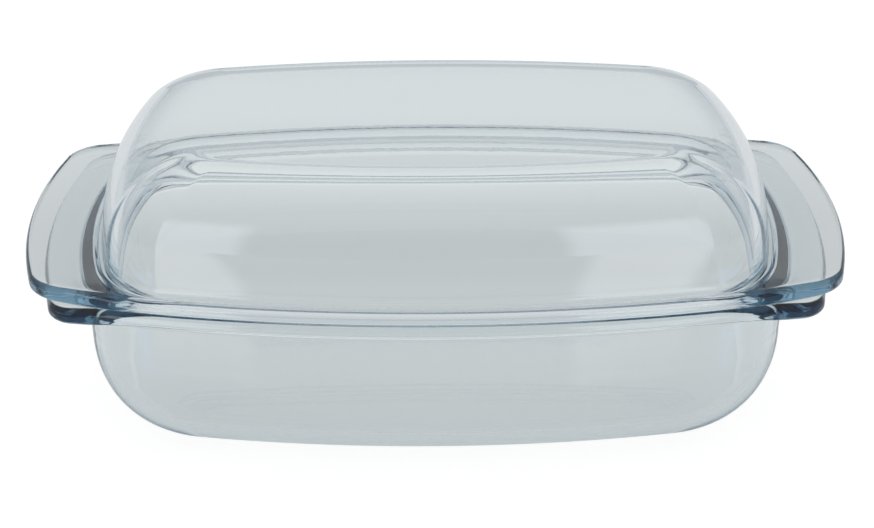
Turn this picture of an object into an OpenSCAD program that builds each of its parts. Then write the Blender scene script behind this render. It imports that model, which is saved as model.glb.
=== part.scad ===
// Covered rectangular glass casserole: a deep base dish and a domed lid that doubles as a shallow dish.
// Both are one-piece pressed glass. The base stands on z = 0, centred on the Z axis, handles along X.

/* [Flanges and handles] */
// Overall length over the lid's handles
lid_length = 390; // [370:1:410]
// Overall length over the base dish's handles
base_length = 372; // [366:1:392]
// Depth over the long rims of both pieces
rim_depth = 211; // [206:1:220]
// Radius of the outward bow of the long rims
long_bow_r = 650; // [600:10:1200]
// Radius of the outward bow of the lid's handles
lid_handle_bow_r = 280; // [240:5:400]
// Radius of the outward bow of the base's handles
base_handle_bow_r = 345; // [220:5:400]
// Corner radius of the lid's handles, in plan
lid_handle_corner_r = 22; // [14:1:30]
// Corner radius of the base's handles, in plan
base_handle_corner_r = 16; // [12:1:30]

/* [Base dish] */
// Height of the base dish's rim above the table
rim_z = 83.5; // [76:0.5:96]
// Outside length of the base's body, just under its rim
body_length = 336; // [330:1:344]
// Outside depth of the base's body, just under its rim
body_depth = 201.4; // [196:0.2:202]
// Plan radius of the base body's corners
body_corner_r = 44.5; // [42:0.5:56]
// Inward taper of the base's wall for each mm of height
body_draft = 0.06; // [0.02:0.01:0.08]
// Height of the curve between the base's wall and floor
body_curve_h = 55; // [48:1:58]
// How far that curve reaches in at the ends
body_curve_end = 53.5; // [48:0.5:62]
// How far that curve reaches in at the long sides
body_curve_side = 43; // [34:1:46]
// Thickness of the base's rim
base_rim_t = 6.2; // [5.2:0.1:6.5]
// How far the top of the base's handles slopes down to their outer edge
base_handle_sink = 2.3; // [0:0.1:2.4]
// How far in the rim's rounded outer edge starts, and how tall it is
nose_reach = 3.4; // [2.4:0.1:4]
nose_h = 3.6; // [2.4:0.1:3.6]
// How far the base's handles hang below the rest of its rim
base_handle_drop = 2.9; // [1:0.1:4]

/* [Lid] */
// Height of the finished casserole, lid on
total_height = 143; // [138:1:150]
// Outside length of the dome where it leaves the flange
dome_length = 317; // [308:1:320]
// Outside depth of the dome where it leaves the flange
dome_depth = 194.8; // [190:0.2:195]
// Plan radius of the dome's corners
dome_corner_r = 34; // [32:1:52]
// Height of the curve between the dome's wall and its flat top
dome_curve_h = 47.5; // [40:0.5:47.5]
// How far that curve reaches in at the ends
dome_curve_end = 45.5; // [40:0.5:56]
// How far that curve reaches in at the long sides
dome_curve_side = 36; // [28:1:38]
// Thickness of the lid's flange along the long sides
lid_rim_t = 6; // [5.2:0.1:6.5]
// How far the underside of the lid's handles rises
lid_handle_rise = 1.6; // [1.6:0.1:3]
// Extra thickness of the lid's handles
lid_handle_extra = 1.2; // [1:0.1:3]
// How far the locating spigot under the lid reaches into the base
spigot_h = 3; // [2.5:0.5:5]
// Sideways play of the spigot in the base's mouth
spigot_play = 1; // [0.8:0.1:1.2]

/* [Glass] */
// Wall and floor thickness
wall = 5; // [4:0.1:6]
// Radius of the fire-polished edges
edge_r = 2.4; // [1.5:0.1:2.5]
// Height of the foot ring around the base's underside
foot_h = 0.8; // [0.4:0.1:1.2]
// Width of that foot ring
foot_w = 5; // [3:0.5:8]
// Gap kept between the lid's flange and the base's rim
seat_gap = 0.3; // [0.2:0.05:0.5]

/* [Hidden] */
glass = [0.80, 0.87, 0.88, 0.45];

// Stations along a quarter of an outline: half a handle end, a corner, half a long side.
end_steps = 7;
corner_steps = 11;
side_steps = 9;
// Steps in the big curves and in the small rounded edges.
curve_steps = 11;
edge_steps = 4;
// The big curves are a little fuller than an ellipse, whose power would be 2.
curve_power = 2.2;
// The plan corners tighten by these shares of the reach of those curves, so the flats keep round corners.
body_corner_share = 0.7;
dome_corner_share = 0.5;

// The handles' change of height and thickness fades in between these two distances from the middle.
handle_start_x = body_length / 2 - 42;
handle_full_x = body_length / 2 + 5;
// The gap between the base's handles and the lid's opens between these two.
gap_start_x = body_length / 2 - 20;
gap_full_x = body_length / 2 + 12;

// Fillet between a wall and its flange.
fillet_r = 3.5;
seat_z = rim_z + seat_gap;
lid_top_z = seat_z + lid_rim_t;
lid_handle_top_rise = lid_handle_rise + lid_handle_extra;

// An outline is [half length, half depth, long bow radius, end bow radius, corner radius].
base_plate = [base_length / 2, rim_depth / 2, long_bow_r, base_handle_bow_r, base_handle_corner_r];
lid_plate = [lid_length / 2, rim_depth / 2, long_bow_r, lid_handle_bow_r, lid_handle_corner_r];
body_outline = body_plan(body_length / 2, body_depth / 2, body_corner_r);
mouth_outline = inset(body_outline, wall, wall);
dome_outline = body_plan(dome_length / 2, dome_depth / 2, dome_corner_r);
spigot_outline = inset(mouth_outline, spigot_play, spigot_play);

// Plan of a wall: its long sides run parallel to the flange's, and its ends bow by a radius of 265.
function body_plan(a, b, corner_r) = [a, b, long_bow_r - rim_depth / 2 + b, 265, corner_r];

// The same outline moved inwards, by dx at the ends and dy at the long sides. Its corner radius
// shrinks by a share of that.
function inset(o, dx, dy, share = 0.9) =
    [o[0] - dx, o[1] - dy, o[2] - dy, o[3] - dx, o[4] - share * min(dx, dy)];

// Centre of the corner arc, which is tangent inside both the long bow and the end bow.
function corner_centre(o) =
    let (
        side = [0, o[1] - o[2]],
        end = [o[0] - o[3], 0],
        side_r = o[2] - o[4],
        end_r = o[3] - o[4],
        gap = norm(end - side),
        along = (side_r * side_r - end_r * end_r + gap * gap) / (2 * gap),
        off = sqrt(max(side_r * side_r - along * along, 0)),
        u = (end - side) / gap
    )
    side + along * u + off * [u.y, -u.x];

function arc(centre, r, a0, a1, steps, first) =
    [for (k = [first:steps]) let (a = a0 + (a1 - a0) * k / steps) centre + r * [cos(a), sin(a)]];

// From the middle of the +X end, round the corner, to the middle of the +Y side.
function quarter(o) =
    let (
        c = corner_centre(o),
        end = [o[0] - o[3], 0],
        side = [0, o[1] - o[2]],
        a_end = atan2(c.y - end.y, c.x - end.x),
        a_side = atan2(c.y - side.y, c.x - side.x)
    )
    concat(
        arc(end, o[3], 0, a_end, end_steps, 0),
        arc(c, o[4], a_end, a_side, corner_steps, 1),
        arc(side, o[2], a_side, 90, side_steps, 1)
    );

// All four quarters, anticlockwise seen from above.
function outline(o) =
    let (q = quarter(o), n = len(q) - 1)
    concat(
        q,
        [for (k = [n - 1:-1:0]) [-q[k].x, q[k].y]],
        [for (k = [1:n]) [-q[k].x, -q[k].y]],
        [for (k = [n - 1:-1:1]) [q[k].x, -q[k].y]]
    );

function smooth(t) = let (s = max(0, min(1, t))) s * s * (3 - 2 * s);

// A ring of points at height z, which rises by lift over the handles: late, where the gap between them opens.
function ring(o, z, lift = 0, late = false) =
    let (x0 = late ? gap_start_x : handle_start_x, x1 = late ? gap_full_x : handle_full_x)
    [for (p = outline(o)) [p.x, p.y, z + lift * smooth((abs(p.x) - x0) / (x1 - x0))]];

// Rings of a big curve that leaves a wall at height z and ends flat, h higher (or lower) and dx, dy further in.
function curve_rings(o, z, h, dx, dy, share) =
    [for (k = [0:curve_steps])
        let (a = 90 * k / curve_steps, s = 1 - pow(cos(a), 2 / curve_power))
        ring(inset(o, dx * s, dy * s, share), z + h * pow(sin(a), 2 / curve_power))];

// Rings of a rounded edge of radius r that swells out from an outline, between two angles in section.
function edge_rings(o, z, r, a0, a1, lift = 0, steps = edge_steps, late = false) =
    [for (k = [0:steps])
        let (a = a0 + (a1 - a0) * k / steps)
        ring(inset(o, -r * cos(a), -r * cos(a)), z + r * sin(a), lift, late)];

// Rings of the base rim's fuller outer edge, from its top down to its side.
function nose_rings(o) =
    [for (k = [0:6])
        let (a = 90 - 15 * k, in = nose_reach * (1 - cos(a)))
        ring(inset(o, in, in), rim_z - nose_h * (1 - sin(a)), -base_handle_sink, true)];

// Rings of the fillet from a flange at height z to its wall, going up (sign 1) or down (sign -1).
function fillet_rings(o, z, sign, lift) =
    [for (k = [0:edge_steps])
        let (a = 90 * k / edge_steps, out = fillet_r * (1 - sin(a)))
        ring(inset(o, -out, -out), z + sign * fillet_r * (1 - cos(a)), lift * (1 - 0.8 * k / edge_steps))];

function reversed(list) = [for (k = [len(list) - 1:-1:0]) list[k]];

// Joins rings of equal length into one closed solid, with a flat cap on the first and the last.
module lofted(rings) {
    m = len(rings[0]);
    n = len(rings);
    points = [for (r = rings) for (p = r) p];
    walls = [for (j = [0:n - 2]) for (k = [0:m - 1])
        let (a = j * m + k, b = j * m + (k + 1) % m)
        each [[a, b, b + m], [a, b + m, a + m]]];
    first = [for (k = [m - 1:-1:0]) k];
    last = [for (k = [0:m - 1]) (n - 1) * m + k];
    polyhedron(points = points, faces = concat([first], walls, [last]), convexity = 6);
}

// The base's inner surface, from the floor up its wall.
function base_inside() =
    let (
        taper = body_draft * (rim_z - edge_r - body_curve_h),
        o = inset(mouth_outline, taper, taper),
        floor_z = wall + foot_h
    )
    reversed(curve_rings(
        o, body_curve_h, floor_z - body_curve_h, body_curve_end - wall, body_curve_side - wall,
        body_corner_share
    ));

// The base's rim and handles, from the edge of the mouth round to the wall underneath.
function base_rim() =
    concat(
        edge_rings(inset(mouth_outline, -edge_r, -edge_r), rim_z - edge_r, edge_r, 180, 90),
        nose_rings(base_plate),
        edge_rings(
            inset(base_plate, edge_r, edge_r), rim_z - base_rim_t + edge_r, edge_r, 0, -90, -base_handle_drop
        ),
        fillet_rings(body_outline, rim_z - base_rim_t, -1, -base_handle_drop)
    );

// The base's outer surface, from its wall down to the foot ring and the recess inside it.
function base_outside() =
    let (
        taper = body_draft * (rim_z - base_rim_t - fillet_r - body_curve_h),
        o = inset(body_outline, taper, taper),
        flat = inset(o, body_curve_end, body_curve_side, body_corner_share),
        recess = foot_w + 2 * foot_h
    )
    concat(
        curve_rings(o, body_curve_h, -body_curve_h, body_curve_end, body_curve_side, body_corner_share),
        [ring(inset(flat, foot_w, foot_w), 0), ring(inset(flat, recess, recess), foot_h)]
    );

module base_dish() {
    color(glass) lofted(concat(base_inside(), base_rim(), base_outside()));
}

// The lid's inner surface, from the ceiling down its wall and round the spigot to the flange's underside.
function lid_inside() =
    let (inner = inset(dome_outline, wall, wall), spigot_z = seat_z - spigot_h)
    concat(
        reversed(curve_rings(
            inner, total_height - dome_curve_h, dome_curve_h - wall, dome_curve_end - wall,
            dome_curve_side - wall, dome_corner_share
        )),
        edge_rings(inset(inner, -0.9, -0.9), spigot_z + 0.9, 0.9, 180, 270, steps = 2),
        edge_rings(inset(spigot_outline, 0.9, 0.9), spigot_z + 0.9, 0.9, -90, 0, steps = 2),
        [ring(spigot_outline, seat_z - 0.8), ring(inset(spigot_outline, -0.8, -0.8), seat_z)]
    );

// The rounded edge of the lid's flange and handles, from underside to top.
function lid_edge() =
    concat(
        edge_rings(
            inset(lid_plate, edge_r, edge_r), seat_z + edge_r, edge_r, -90, 0, lid_handle_rise, late = true
        ),
        edge_rings(inset(lid_plate, edge_r, edge_r), lid_top_z - edge_r, edge_r, 0, 90, lid_handle_top_rise)
    );

// The lid's outer surface, from the flange up to the flat top.
function lid_outside() =
    concat(
        fillet_rings(dome_outline, lid_top_z, 1, lid_handle_top_rise),
        curve_rings(
            dome_outline, total_height - dome_curve_h, dome_curve_h, dome_curve_end, dome_curve_side,
            dome_corner_share
        )
    );

module lid() {
    color(glass) lofted(reversed(concat(lid_inside(), lid_edge(), lid_outside())));
}

base_dish();
lid();
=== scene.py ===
"""A covered rectangular casserole of clear pressed glass: a deep base dish and a domed lid.

Each of the two pieces is one closed glass shell, lofted through rings of points. A ring is a bowed
rounded rectangle at one height, and its ends may lift over the handles. Lengths in the shape code are
in millimetres, and each mesh is scaled to metres as it is made.
"""
import math

import bpy
import numpy as np
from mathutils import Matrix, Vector


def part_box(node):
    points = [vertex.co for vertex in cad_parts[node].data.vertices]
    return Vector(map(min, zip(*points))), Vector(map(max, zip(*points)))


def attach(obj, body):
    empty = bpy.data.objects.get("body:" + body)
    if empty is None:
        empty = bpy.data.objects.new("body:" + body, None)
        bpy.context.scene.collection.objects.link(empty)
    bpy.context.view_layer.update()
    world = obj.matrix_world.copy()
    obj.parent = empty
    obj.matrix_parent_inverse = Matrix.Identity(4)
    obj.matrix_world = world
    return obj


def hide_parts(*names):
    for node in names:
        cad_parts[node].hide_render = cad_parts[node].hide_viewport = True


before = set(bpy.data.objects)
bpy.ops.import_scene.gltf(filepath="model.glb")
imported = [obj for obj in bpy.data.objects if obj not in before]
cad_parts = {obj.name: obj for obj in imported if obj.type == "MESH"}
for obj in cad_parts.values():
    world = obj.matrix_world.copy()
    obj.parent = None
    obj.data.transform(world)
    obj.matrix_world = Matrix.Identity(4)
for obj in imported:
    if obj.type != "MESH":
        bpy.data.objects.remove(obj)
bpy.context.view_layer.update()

MM = 0.001

# ---------------------------------------------------------------- sizes, in mm
dish_low, dish_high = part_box("base_dish")
lid_low, lid_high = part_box("lid")
LID_HALF_LENGTH = lid_high.x / MM
BASE_HALF_LENGTH = dish_high.x / MM
RIM_HALF_DEPTH = lid_high.y / MM
LID_TOP = lid_high.z / MM
BASE_HANDLE_SINK = 2.3
RIM_Z = dish_high.z / MM
BASE_HANDLE_DROP = 2.9
BASE_RIM_T = 6.2
LID_RIM_T = 6.0
LID_HANDLE_RISE = 1.6
LID_HANDLE_EXTRA = 1.2
SEAT_GAP = 0.3
SPIGOT_H = 3.0
WALL = 5.0
FOOT_H = 0.8
FOOT_W = 5.0
EDGE_R = 2.4
NOSE_REACH = 3.4
NOSE_H = 3.6
FILLET_R = 3.5
CURVE_POWER = 2.2
BODY_DRAFT = 0.06
BODY_CURVE = (55.0, 53.5, 43.0)   # height, reach at the ends, reach at the sides
DOME_CURVE = (47.5, 45.5, 36.0)
HANDLE_START_X = 126.0
HANDLE_FULL_X = 173.0
GAP_START_X = 148.0               # where the gap between the two pieces' handles opens
GAP_FULL_X = 180.0

# An outline is (half length, half depth, long bow radius, end bow radius, corner radius).
LONG_BOW_R = 650.0
BODY_END_BOW_R = 265.0


def body_plan(a, b, corner_r):
    return (a, b, LONG_BOW_R - RIM_HALF_DEPTH + b, BODY_END_BOW_R, corner_r)


def inset(o, dx, dy=None, share=0.9):
    """The outline moved inwards; its corner radius shrinks by a share of that."""
    dy = dx if dy is None else dy
    return (o[0] - dx, o[1] - dy, o[2] - dy, o[3] - dx, o[4] - share * min(dx, dy))


BASE_PLATE = (BASE_HALF_LENGTH, RIM_HALF_DEPTH, LONG_BOW_R, 345.0, 16.0)
LID_PLATE = (LID_HALF_LENGTH, RIM_HALF_DEPTH, LONG_BOW_R, 280.0, 22.0)
BODY = body_plan(168.0, 100.7, 44.5)
DOME = body_plan(158.5, 97.4, 34.0)
BODY_CORNER_SHARE = 0.7
DOME_CORNER_SHARE = 0.5
MOUTH = inset(BODY, WALL)
SPIGOT_PLAY = 1.0
SPIGOT = inset(MOUTH, SPIGOT_PLAY)
SPIGOT_EDGE_R = 0.9
SPIGOT_ROOT = 0.8                 # the small chamfer where the spigot meets the lid's flange
FOOT_HOLLOW = 24.0                # how far in the flat rises from the foot ring to its full height
FOOT_CORNER_SHARE = 0.4

# ---------------------------------------------------------------- rings
END_STEPS, CORNER_STEPS, SIDE_STEPS = 16, 26, 22
CURVE_STEPS, EDGE_STEPS, SPIGOT_STEPS, FOOT_STEPS = 40, 8, 4, 24


def arc(centre, r, a0, a1, steps, first):
    a = np.linspace(a0, a1, steps + 1)[first:]
    return np.column_stack([centre[0] + r * np.cos(a), centre[1] + r * np.sin(a)])


def outline(o):
    """The whole outline, anticlockwise seen from above, from the middle of the +X end."""
    a, b, long_r, end_r, corner_r = o
    side = np.array([0.0, b - long_r])
    end = np.array([a - end_r, 0.0])
    side_r = long_r - corner_r
    inner_r = end_r - corner_r
    gap = np.linalg.norm(end - side)
    along = (side_r ** 2 - inner_r ** 2 + gap ** 2) / (2 * gap)
    off = math.sqrt(max(side_r ** 2 - along ** 2, 0.0))
    u = (end - side) / gap
    c = side + along * u + off * np.array([u[1], -u[0]])
    a_end = math.atan2(c[1] - end[1], c[0] - end[0])
    a_side = math.atan2(c[1] - side[1], c[0] - side[0])
    q = np.vstack([
        arc(end, end_r, 0.0, a_end, END_STEPS, 0),
        arc(c, corner_r, a_end, a_side, CORNER_STEPS, 1),
        arc(side, long_r, a_side, math.pi / 2, SIDE_STEPS, 1),
    ])
    return np.vstack([q, q[-2::-1] * [-1, 1], q[1:] * [-1, -1], q[-2:0:-1] * [1, -1]])


def smooth(t):
    t = np.clip(t, 0.0, 1.0)
    return t * t * (3 - 2 * t)


def ring(o, z, lift=0.0, late=False):
    """Rises by lift over the handles: late, where the gap between the two pieces' handles opens."""
    p = outline(o)
    x0, x1 = (GAP_START_X, GAP_FULL_X) if late else (HANDLE_START_X, HANDLE_FULL_X)
    raised = smooth((np.abs(p[:, 0]) - x0) / (x1 - x0))
    return np.column_stack([p, z + lift * raised])


def curve_rings(o, z, h, dx, dy, share):
    """The big curve from a wall into a flat."""
    rings = []
    for a in np.linspace(0.0, math.pi / 2, CURVE_STEPS + 1):
        s = 1 - max(math.cos(a), 0.0) ** (2 / CURVE_POWER)
        rings.append(ring(inset(o, dx * s, dy * s, share), z + h * math.sin(a) ** (2 / CURVE_POWER)))
    return rings


def edge_rings(o, z, r, a0, a1, lift=0.0, steps=EDGE_STEPS, late=False):
    """A rounded edge that swells out from an outline."""
    return [ring(inset(o, -r * math.cos(a)), z + r * math.sin(a), lift, late)
            for a in np.radians(np.linspace(a0, a1, steps + 1))]


def fillet_rings(o, z, sign, lift):
    """The fillet from a flange at height z to its wall."""
    rings = []
    for t in np.linspace(0.0, 1.0, EDGE_STEPS + 1):
        a = math.pi / 2 * t
        out = FILLET_R * (1 - math.sin(a))
        up = FILLET_R * (1 - math.cos(a))
        rings.append(ring(inset(o, -out), z + sign * up, lift * (1 - 0.8 * t)))
    return rings


def between(a, b, parts):
    """Rings part way from one ring to the next, so that a flat strip stays flat in its shading."""
    return [a + (b - a) * t for t in parts]


SUPPORT = (0.02, 0.12, 0.5, 0.88, 0.98)


def joined(*groups):
    """The groups of rings one after another, with support rings in the strips between them."""
    out = list(groups[0])
    for g in groups[1:]:
        out += between(out[-1], g[0], SUPPORT)
        out += list(g)
    return out


def cap_rings(r):
    """A flat end closed by rings that shrink towards its centre."""
    out = []
    for t in (0.985, 0.93, 0.8, 0.62, 0.42, 0.2, 0.06):
        q = r.copy()
        q[:, :2] *= t
        out.append(q)
    return out


def shell(name, rings):
    """One closed mesh from rings ordered so that its faces point outwards."""
    rings = cap_rings(rings[0])[::-1] + list(rings) + cap_rings(rings[-1])
    m = len(rings[0])
    n = len(rings)
    verts = np.vstack(rings) * MM
    faces = [[k for k in range(m)]]
    for j in range(n - 1):
        for k in range(m):
            a = j * m + k
            b = j * m + (k + 1) % m
            faces.append([a, a + m, b + m, b])
    faces.append([(n - 1) * m + k for k in range(m - 1, -1, -1)])
    mesh = bpy.data.meshes.new(name)
    mesh.from_pydata(verts.tolist(), [], faces)
    mesh.validate()
    mesh.polygons.foreach_set("use_smooth", [True] * len(mesh.polygons))
    mesh.update()
    obj = bpy.data.objects.new(name, mesh)
    bpy.context.scene.collection.objects.link(obj)
    return obj


# ---------------------------------------------------------------- the two glass shells
def base_rings():
    """From the middle of the dish's floor up its inside, round its rim and down its outside to the foot."""
    taper_in = BODY_DRAFT * (RIM_Z - EDGE_R - BODY_CURVE[0])
    h, dx, dy = BODY_CURVE
    inside = curve_rings(
        inset(MOUTH, taper_in), h, WALL + FOOT_H - h, dx - WALL, dy - WALL, BODY_CORNER_SHARE)[::-1]
    plate = inset(BASE_PLATE, EDGE_R)
    mouth_edge = edge_rings(inset(MOUTH, -EDGE_R), RIM_Z - EDGE_R, EDGE_R, 180, 90)
    top_edge = []
    for a in np.radians(np.linspace(90, 0, 2 * EDGE_STEPS + 1)):
        nose = inset(BASE_PLATE, NOSE_REACH * (1 - math.cos(a)))
        top_edge.append(ring(nose, RIM_Z - NOSE_H * (1 - math.sin(a)), -BASE_HANDLE_SINK, late=True))
    low_edge = edge_rings(plate, RIM_Z - BASE_RIM_T + EDGE_R, EDGE_R, 0, -90, -BASE_HANDLE_DROP)
    under = fillet_rings(BODY, RIM_Z - BASE_RIM_T, -1, -BASE_HANDLE_DROP)
    taper_out = BODY_DRAFT * (RIM_Z - BASE_RIM_T - FILLET_R - h)
    wall_line = inset(BODY, taper_out)
    outside = curve_rings(wall_line, h, -h, dx, dy, BODY_CORNER_SHARE)
    flat = inset(wall_line, dx, dy, BODY_CORNER_SHARE)
    foot = []
    for t in np.linspace(0.0, 1.0, FOOT_STEPS + 1):
        step = inset(flat, FOOT_W + FOOT_HOLLOW * t, share=FOOT_CORNER_SHARE)
        foot.append(ring(step, FOOT_H * smooth(t)))
    return joined(inside, mouth_edge, top_edge, low_edge, under, outside, foot)


def lid_rings():
    """From the middle of the lid's top down its outside, round its rim and up its inside to its ceiling."""
    seat = RIM_Z + SEAT_GAP
    top = seat + LID_RIM_T
    h, dx, dy = DOME_CURVE
    inner = inset(DOME, WALL)
    ceiling = curve_rings(inner, LID_TOP - h, h - WALL, dx - WALL, dy - WALL, DOME_CORNER_SHARE)[::-1]
    r = SPIGOT_EDGE_R
    foot_z = seat - SPIGOT_H + r
    spigot_in = edge_rings(inset(inner, -r), foot_z, r, 180, 270, steps=SPIGOT_STEPS)
    spigot_out = edge_rings(inset(SPIGOT, r), foot_z, r, -90, 0, steps=SPIGOT_STEPS)
    root = [ring(SPIGOT, seat - SPIGOT_ROOT), ring(inset(SPIGOT, -SPIGOT_ROOT), seat)]
    plate = inset(LID_PLATE, EDGE_R)
    low_edge = edge_rings(plate, seat + EDGE_R, EDGE_R, -90, 0, LID_HANDLE_RISE, late=True)
    top_edge = edge_rings(plate, top - EDGE_R, EDGE_R, 0, 90, LID_HANDLE_RISE + LID_HANDLE_EXTRA)
    over = fillet_rings(DOME, top, 1, LID_HANDLE_RISE + LID_HANDLE_EXTRA)
    outside = curve_rings(DOME, LID_TOP - h, h, dx, dy, DOME_CORNER_SHARE)
    return joined(ceiling, spigot_in, spigot_out, root, low_edge, top_edge, over, outside)[::-1]


dish = shell("dish_glass_shell", base_rings())
lid = shell("lid_glass_shell", lid_rings())


# ---------------------------------------------------------------- glass
def glass(name, seed):
    """Clear glass with a tint that deepens with the way through it; the seed moves its waves."""
    mat = bpy.data.materials.new(name)
    mat.use_nodes = True
    nt = mat.node_tree
    bsdf = nt.nodes["Principled BSDF"]
    out = nt.nodes["Material Output"]
    bsdf.inputs["Base Color"].default_value = (1.0, 1.0, 1.0, 1.0)
    bsdf.inputs["Transmission Weight"].default_value = 1.0
    bsdf.inputs["IOR"].default_value = 1.475
    coord = nt.nodes.new("ShaderNodeTexCoord")
    # Pressed glass: long shallow waves from the mould, and a fine unevenness from fire-polishing.
    waves = nt.nodes.new("ShaderNodeTexNoise")
    waves.noise_dimensions = "4D"
    waves.inputs["W"].default_value = seed
    waves.inputs["Scale"].default_value = 12.0
    waves.inputs["Detail"].default_value = 1.0
    fine = nt.nodes.new("ShaderNodeTexNoise")
    fine.noise_dimensions = "4D"
    fine.inputs["W"].default_value = seed + 3.0
    fine.inputs["Scale"].default_value = 160.0
    fine.inputs["Detail"].default_value = 2.0
    bump = nt.nodes.new("ShaderNodeBump")
    bump.inputs["Strength"].default_value = 0.07
    bump.inputs["Distance"].default_value = 0.0006
    bump2 = nt.nodes.new("ShaderNodeBump")
    bump2.inputs["Strength"].default_value = 0.05
    bump2.inputs["Distance"].default_value = 0.0001
    nt.links.new(coord.outputs["Object"], waves.inputs["Vector"])
    nt.links.new(coord.outputs["Object"], fine.inputs["Vector"])
    nt.links.new(waves.outputs["Fac"], bump.inputs["Height"])
    nt.links.new(fine.outputs["Fac"], bump2.inputs["Height"])
    nt.links.new(bump.outputs["Normal"], bump2.inputs["Normal"])
    nt.links.new(bump2.outputs["Normal"], bsdf.inputs["Normal"])
    rough = nt.nodes.new("ShaderNodeMapRange")
    rough.inputs["To Min"].default_value = 0.0
    rough.inputs["To Max"].default_value = 0.02
    nt.links.new(fine.outputs["Fac"], rough.inputs["Value"])
    nt.links.new(rough.outputs["Result"], bsdf.inputs["Roughness"])
    tint = nt.nodes.new("ShaderNodeVolumeAbsorption")
    tint.inputs["Color"].default_value = (0.12, 0.43, 0.58, 1.0)
    tint.inputs["Density"].default_value = 10.0
    nt.links.new(tint.outputs["Volume"], out.inputs["Volume"])
    return mat


for obj, body, node, slot, seed in (
        (dish, "dish", "base_dish", "dish_glass", 1.0),
        (lid, "lid", "lid", "lid_glass", 7.0)):
    obj.data.materials.append(glass(slot + "_clear", seed))
    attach(obj, body)
    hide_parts(node)

# ---------------------------------------------------------------- floor, light, camera
scene = bpy.context.scene
FLOOR_SEEN = 0.9        # the floor's own light as the camera sees it; the studio's light adds the rest
# The colour cast of the floor's painted shadow, as the glass sees it.
PAINTED_SHADOW_TINT = (0.924, 0.972, 0.973)
POOL_STRENGTH = 3.8     # the two light pools, against the floor's grey
# The strength of the two painted blue glowing patches.
PAINTED_GLOW_STRENGTH = 1.2
PANEL_STRENGTH = 2.8    # the softboxes
FLOOR_HALF = 12.0
FLOOR_Z = -0.0004       # just under the dish's foot


def ramp_node(nt, stops):
    """A colour ramp whose stops are (position, grey level or colour)."""
    ramp = nt.nodes.new("ShaderNodeValToRGB")
    elements = ramp.color_ramp.elements
    for k, (pos, col) in enumerate(stops):
        e = elements[k] if k < 2 else elements.new(pos)
        e.position = pos
        e.color = (*col, 1.0) if isinstance(col, tuple) else (col, col, col, 1.0)
    return ramp


def math_node(nt, operation, a, b=None, clamp=False):
    """A math node; each input is a socket to link or a plain number."""
    node = nt.nodes.new("ShaderNodeMath")
    node.operation = operation
    node.use_clamp = clamp
    for socket, value in zip(node.inputs, (a, b)):
        if isinstance(value, (int, float)):
            socket.default_value = value
        elif value is not None:
            nt.links.new(value, socket)
    return node.outputs["Value"]


def fade(nt, value, none_at, full_at):
    """Eases from 0 where the value is none_at to 1 where it is full_at."""
    soft = nt.nodes.new("ShaderNodeMapRange")
    soft.interpolation_type = "SMOOTHSTEP"
    soft.inputs["From Min"].default_value = none_at
    soft.inputs["From Max"].default_value = full_at
    nt.links.new(value, soft.inputs["Value"])
    return soft.outputs["Result"]


def beam(nt, x, y, heading, half_width):
    """How far a place or direction lies inside a wedge that opens towards the camera at a heading."""
    angle = math_node(nt, "ARCTAN2", x, math_node(nt, "MULTIPLY", y, -1.0))
    off = math_node(nt, "ABSOLUTE", math_node(nt, "SUBTRACT", angle, math.radians(heading)))
    return fade(nt, off, math.radians(half_width + 1.5), math.radians(half_width - 1.5))


def floor_painted_shadow(nt, split, aside):
    """A painted shadow in the floor's soft grey, deepest under and just behind the dish, where the dish
    takes its light.
    """
    # The ramp runs from 0.4 m in front of the dish's middle to 0.6 m behind it.
    along = math_node(nt, "ADD", split.outputs["Y"], 0.4, clamp=True)
    # Grey levels of the painted shadow: darkest under and just behind the dish.
    stops = (
        (0.0, 0.58), (0.36, 0.56), (0.42, 0.60), (0.46, 0.59), (0.51, 0.49), (0.56, 0.49), (0.61, 0.54),
        (0.75, 0.70),
    )
    under = ramp_node(nt, [(pos, tuple(t * g for t in PAINTED_SHADOW_TINT)) for pos, g in stops])
    nt.links.new(along, under.inputs["Fac"])
    side = fade(nt, aside, 0.18, 0.34)
    shade = nt.nodes.new("ShaderNodeMix")
    shade.data_type = "RGBA"
    nt.links.new(side, shade.inputs["Factor"])
    nt.links.new(under.outputs["Color"], shade.inputs["A"])
    shade.inputs["B"].default_value = (0.60, 0.61, 0.62, 1.0)
    return shade.outputs["Result"]


def light_pools(nt, split, from_y):
    """How far a place lies in one of the two light pools in front, which lie under the softboxes."""
    left = beam(nt, split.outputs["X"], from_y, -28.5, 6.0)
    right = beam(nt, split.outputs["X"], from_y, 23.5, 6.5)
    front = math_node(nt, "MULTIPLY", math_node(nt, "ADD", split.outputs["Y"], 0.15), -12.0, clamp=True)
    return math_node(nt, "MULTIPLY", math_node(nt, "ADD", left, right), front)


def painted_glow_patches(nt, coord, split, aside, from_y):
    """How far a place lies in one of the two painted blue glowing patches beyond the dish's front corners.
    """
    heading = math_node(nt, "ARCTAN2", aside, math_node(nt, "MULTIPLY", from_y, -1.0))
    radius = nt.nodes.new("ShaderNodeVectorMath")
    radius.operation = "LENGTH"
    nt.links.new(coord.outputs["Object"], radius.inputs[0])
    aslant = fade(nt, heading, math.radians(34.0), math.radians(38.0))
    near = fade(nt, radius.outputs["Value"], 0.46, 0.40)
    front = fade(nt, split.outputs["Y"], -0.12, -0.16)
    return math_node(nt, "MULTIPLY", math_node(nt, "MULTIPLY", aslant, near), front)


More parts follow.
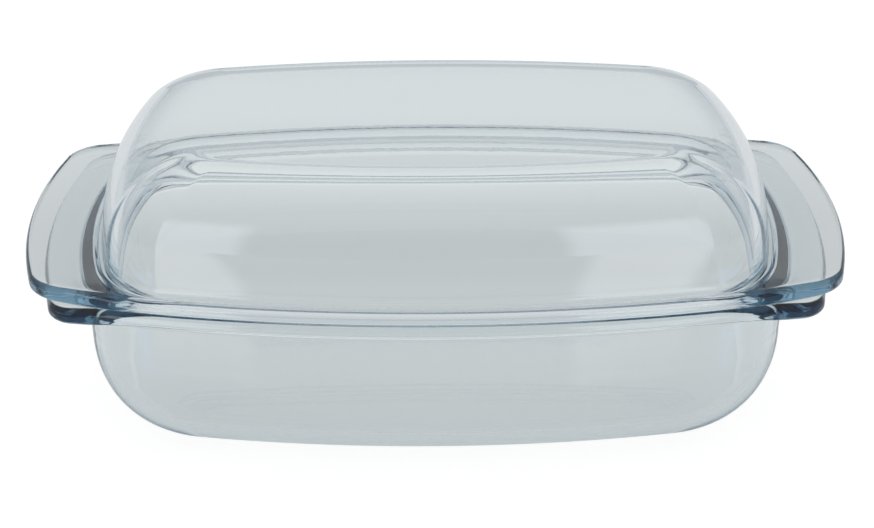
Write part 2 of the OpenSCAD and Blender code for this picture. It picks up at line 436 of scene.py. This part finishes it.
def floor_material():
    """A white sweep lit evenly from within, so that only the faintest contact shadow shows on it.

    Seen through the glass it is a soft grey with a painted shadow under and just behind the dish. The glass
    mirrors two painted light pools and two painted blue glowing patches in it, which lighten the dish's
    front and tint the handles' front faces.
    """
    mat = bpy.data.materials.new("studio_floor")
    mat.use_nodes = True
    nt = mat.node_tree
    nt.nodes.clear()
    out = nt.nodes.new("ShaderNodeOutputMaterial")
    coord = nt.nodes.new("ShaderNodeTexCoord")
    path = nt.nodes.new("ShaderNodeLightPath")
    split = nt.nodes.new("ShaderNodeSeparateXYZ")
    nt.links.new(coord.outputs["Object"], split.inputs["Vector"])
    mirrored = path.outputs["Is Reflection Ray"]
    aside = math_node(nt, "ABSOLUTE", split.outputs["X"])
    from_y = math_node(nt, "SUBTRACT", split.outputs["Y"], 0.1)
    pools = math_node(nt, "MULTIPLY", light_pools(nt, split, from_y), mirrored)
    painted_glow_mask = math_node(nt, "MULTIPLY", painted_glow_patches(nt, coord, split, aside, from_y), mirrored)
    # The floor as the glass sees it: its grey with the painted shadow, brightened in the painted light
    # pools.
    dim = nt.nodes.new("ShaderNodeEmission")
    nt.links.new(floor_painted_shadow(nt, split, aside), dim.inputs["Color"])
    pool_gain = math_node(nt, "MULTIPLY", pools, POOL_STRENGTH)
    nt.links.new(math_node(nt, "ADD", pool_gain, 1.0), dim.inputs["Strength"])
    # Painted blue glow on the floor, seen only in reflections, which tints the handles' front faces.
    painted_blue_glow = nt.nodes.new("ShaderNodeEmission")
    painted_blue_glow.inputs["Color"].default_value = (0.12, 0.5, 1.0, 1.0)
    nt.links.new(math_node(nt, "MULTIPLY", painted_glow_mask, PAINTED_GLOW_STRENGTH), painted_blue_glow.inputs["Strength"])
    through = nt.nodes.new("ShaderNodeAddShader")
    nt.links.new(dim.outputs["Emission"], through.inputs[0])
    nt.links.new(painted_blue_glow.outputs["Emission"], through.inputs[1])
    glow = nt.nodes.new("ShaderNodeEmission")
    glow.inputs["Strength"].default_value = FLOOR_SEEN
    matt = nt.nodes.new("ShaderNodeBsdfDiffuse")
    matt.inputs["Color"].default_value = (0.2, 0.2, 0.2, 1.0)
    mix = nt.nodes.new("ShaderNodeMixShader")
    add = nt.nodes.new("ShaderNodeAddShader")
    nt.links.new(path.outputs["Is Camera Ray"], mix.inputs["Fac"])
    nt.links.new(through.outputs["Shader"], mix.inputs[1])
    nt.links.new(glow.outputs["Emission"], mix.inputs[2])
    nt.links.new(mix.outputs["Shader"], add.inputs[0])
    nt.links.new(matt.outputs["BSDF"], add.inputs[1])
    nt.links.new(add.outputs["Shader"], out.inputs["Surface"])
    return mat


mesh = bpy.data.meshes.new("floor")
corners = [(sx * FLOOR_HALF, sy * FLOOR_HALF, FLOOR_Z) for sx, sy in ((-1, -1), (1, -1), (1, 1), (-1, 1))]
mesh.from_pydata(corners, [], [(0, 1, 2, 3)])
floor = bpy.data.objects.new("floor", mesh)
scene.collection.objects.link(floor)
mesh.materials.append(floor_material())


def sky():
    """A white cove for the eye. The glass sees one that darkens lower down, and mirrors two softboxes."""
    world = bpy.data.worlds.new("studio")
    scene.world = world
    world.use_nodes = True
    nt = world.node_tree
    nt.nodes.clear()
    out = nt.nodes.new("ShaderNodeOutputWorld")
    coord = nt.nodes.new("ShaderNodeTexCoord")
    split = nt.nodes.new("ShaderNodeSeparateXYZ")
    nt.links.new(coord.outputs["Generated"], split.inputs["Vector"])
    path = nt.nodes.new("ShaderNodeLightPath")
    ramp = ramp_node(nt, (
        (0.0, (0.50, 0.54, 0.57)), (0.2, (0.53, 0.55, 0.57)), (0.45, (0.62, 0.64, 0.65)),
        (0.8, 0.76), (1.0, 0.78),
    ))
    nt.links.new(split.outputs["Z"], ramp.inputs["Fac"])
    boxes = math_node(
        nt, "ADD", beam(nt, split.outputs["X"], split.outputs["Y"], -28.0, 8.5),
        beam(nt, split.outputs["X"], split.outputs["Y"], 22.5, 8.0))
    top = ramp_node(nt, ((0.0, 1.0), (0.42, 1.0), (0.55, 0.0)))
    nt.links.new(split.outputs["Z"], top.inputs["Fac"])
    boxes = math_node(nt, "MULTIPLY", boxes, top.outputs["Color"])
    boxes = math_node(nt, "MULTIPLY", boxes, PANEL_STRENGTH)
    boxes = math_node(nt, "MULTIPLY", boxes, path.outputs["Is Reflection Ray"])
    light = nt.nodes.new("ShaderNodeBackground")
    nt.links.new(ramp.outputs["Color"], light.inputs["Color"])
    panels = nt.nodes.new("ShaderNodeBackground")
    panels.inputs["Color"].default_value = (0.88, 0.92, 1.0, 1.0)
    nt.links.new(boxes, panels.inputs["Strength"])
    both = nt.nodes.new("ShaderNodeAddShader")
    nt.links.new(light.outputs["Background"], both.inputs[0])
    nt.links.new(panels.outputs["Background"], both.inputs[1])
    white = nt.nodes.new("ShaderNodeBackground")
    white.inputs["Color"].default_value = (1.0, 1.0, 1.0, 1.0)
    mix = nt.nodes.new("ShaderNodeMixShader")
    nt.links.new(path.outputs["Is Camera Ray"], mix.inputs["Fac"])
    nt.links.new(both.outputs["Shader"], mix.inputs[1])
    nt.links.new(white.outputs["Background"], mix.inputs[2])
    nt.links.new(mix.outputs["Shader"], out.inputs["Surface"])


sky()

ELEVATION = math.radians(26.56)
TURN = math.radians(0.877)
DISTANCE = 1.0972
TARGET = Vector((0.0, 0.0, 0.0627))
cam_data = bpy.data.cameras.new("camera")
camera = bpy.data.objects.new("camera", cam_data)
scene.collection.objects.link(camera)
level = math.cos(ELEVATION)
away = Vector((-math.sin(TURN) * level, -math.cos(TURN) * level, math.sin(ELEVATION)))
camera.location = TARGET + away * DISTANCE
camera.rotation_euler = (-away).to_track_quat("-Z", "Y").to_euler()
cam_data.lens = 92.09
cam_data.sensor_width = 36.0
cam_data.shift_x = 0.0024
cam_data.clip_end = 60.0
scene.camera = camera

scene.view_settings.view_transform = "Standard"
# Light runs a long way inside the glass of the rims, so its paths are long.
scene.cycles.max_bounces = 96
scene.cycles.transmission_bounces = 96
scene.cycles.glossy_bounces = 48
scene.cycles.transparent_max_bounces = 16
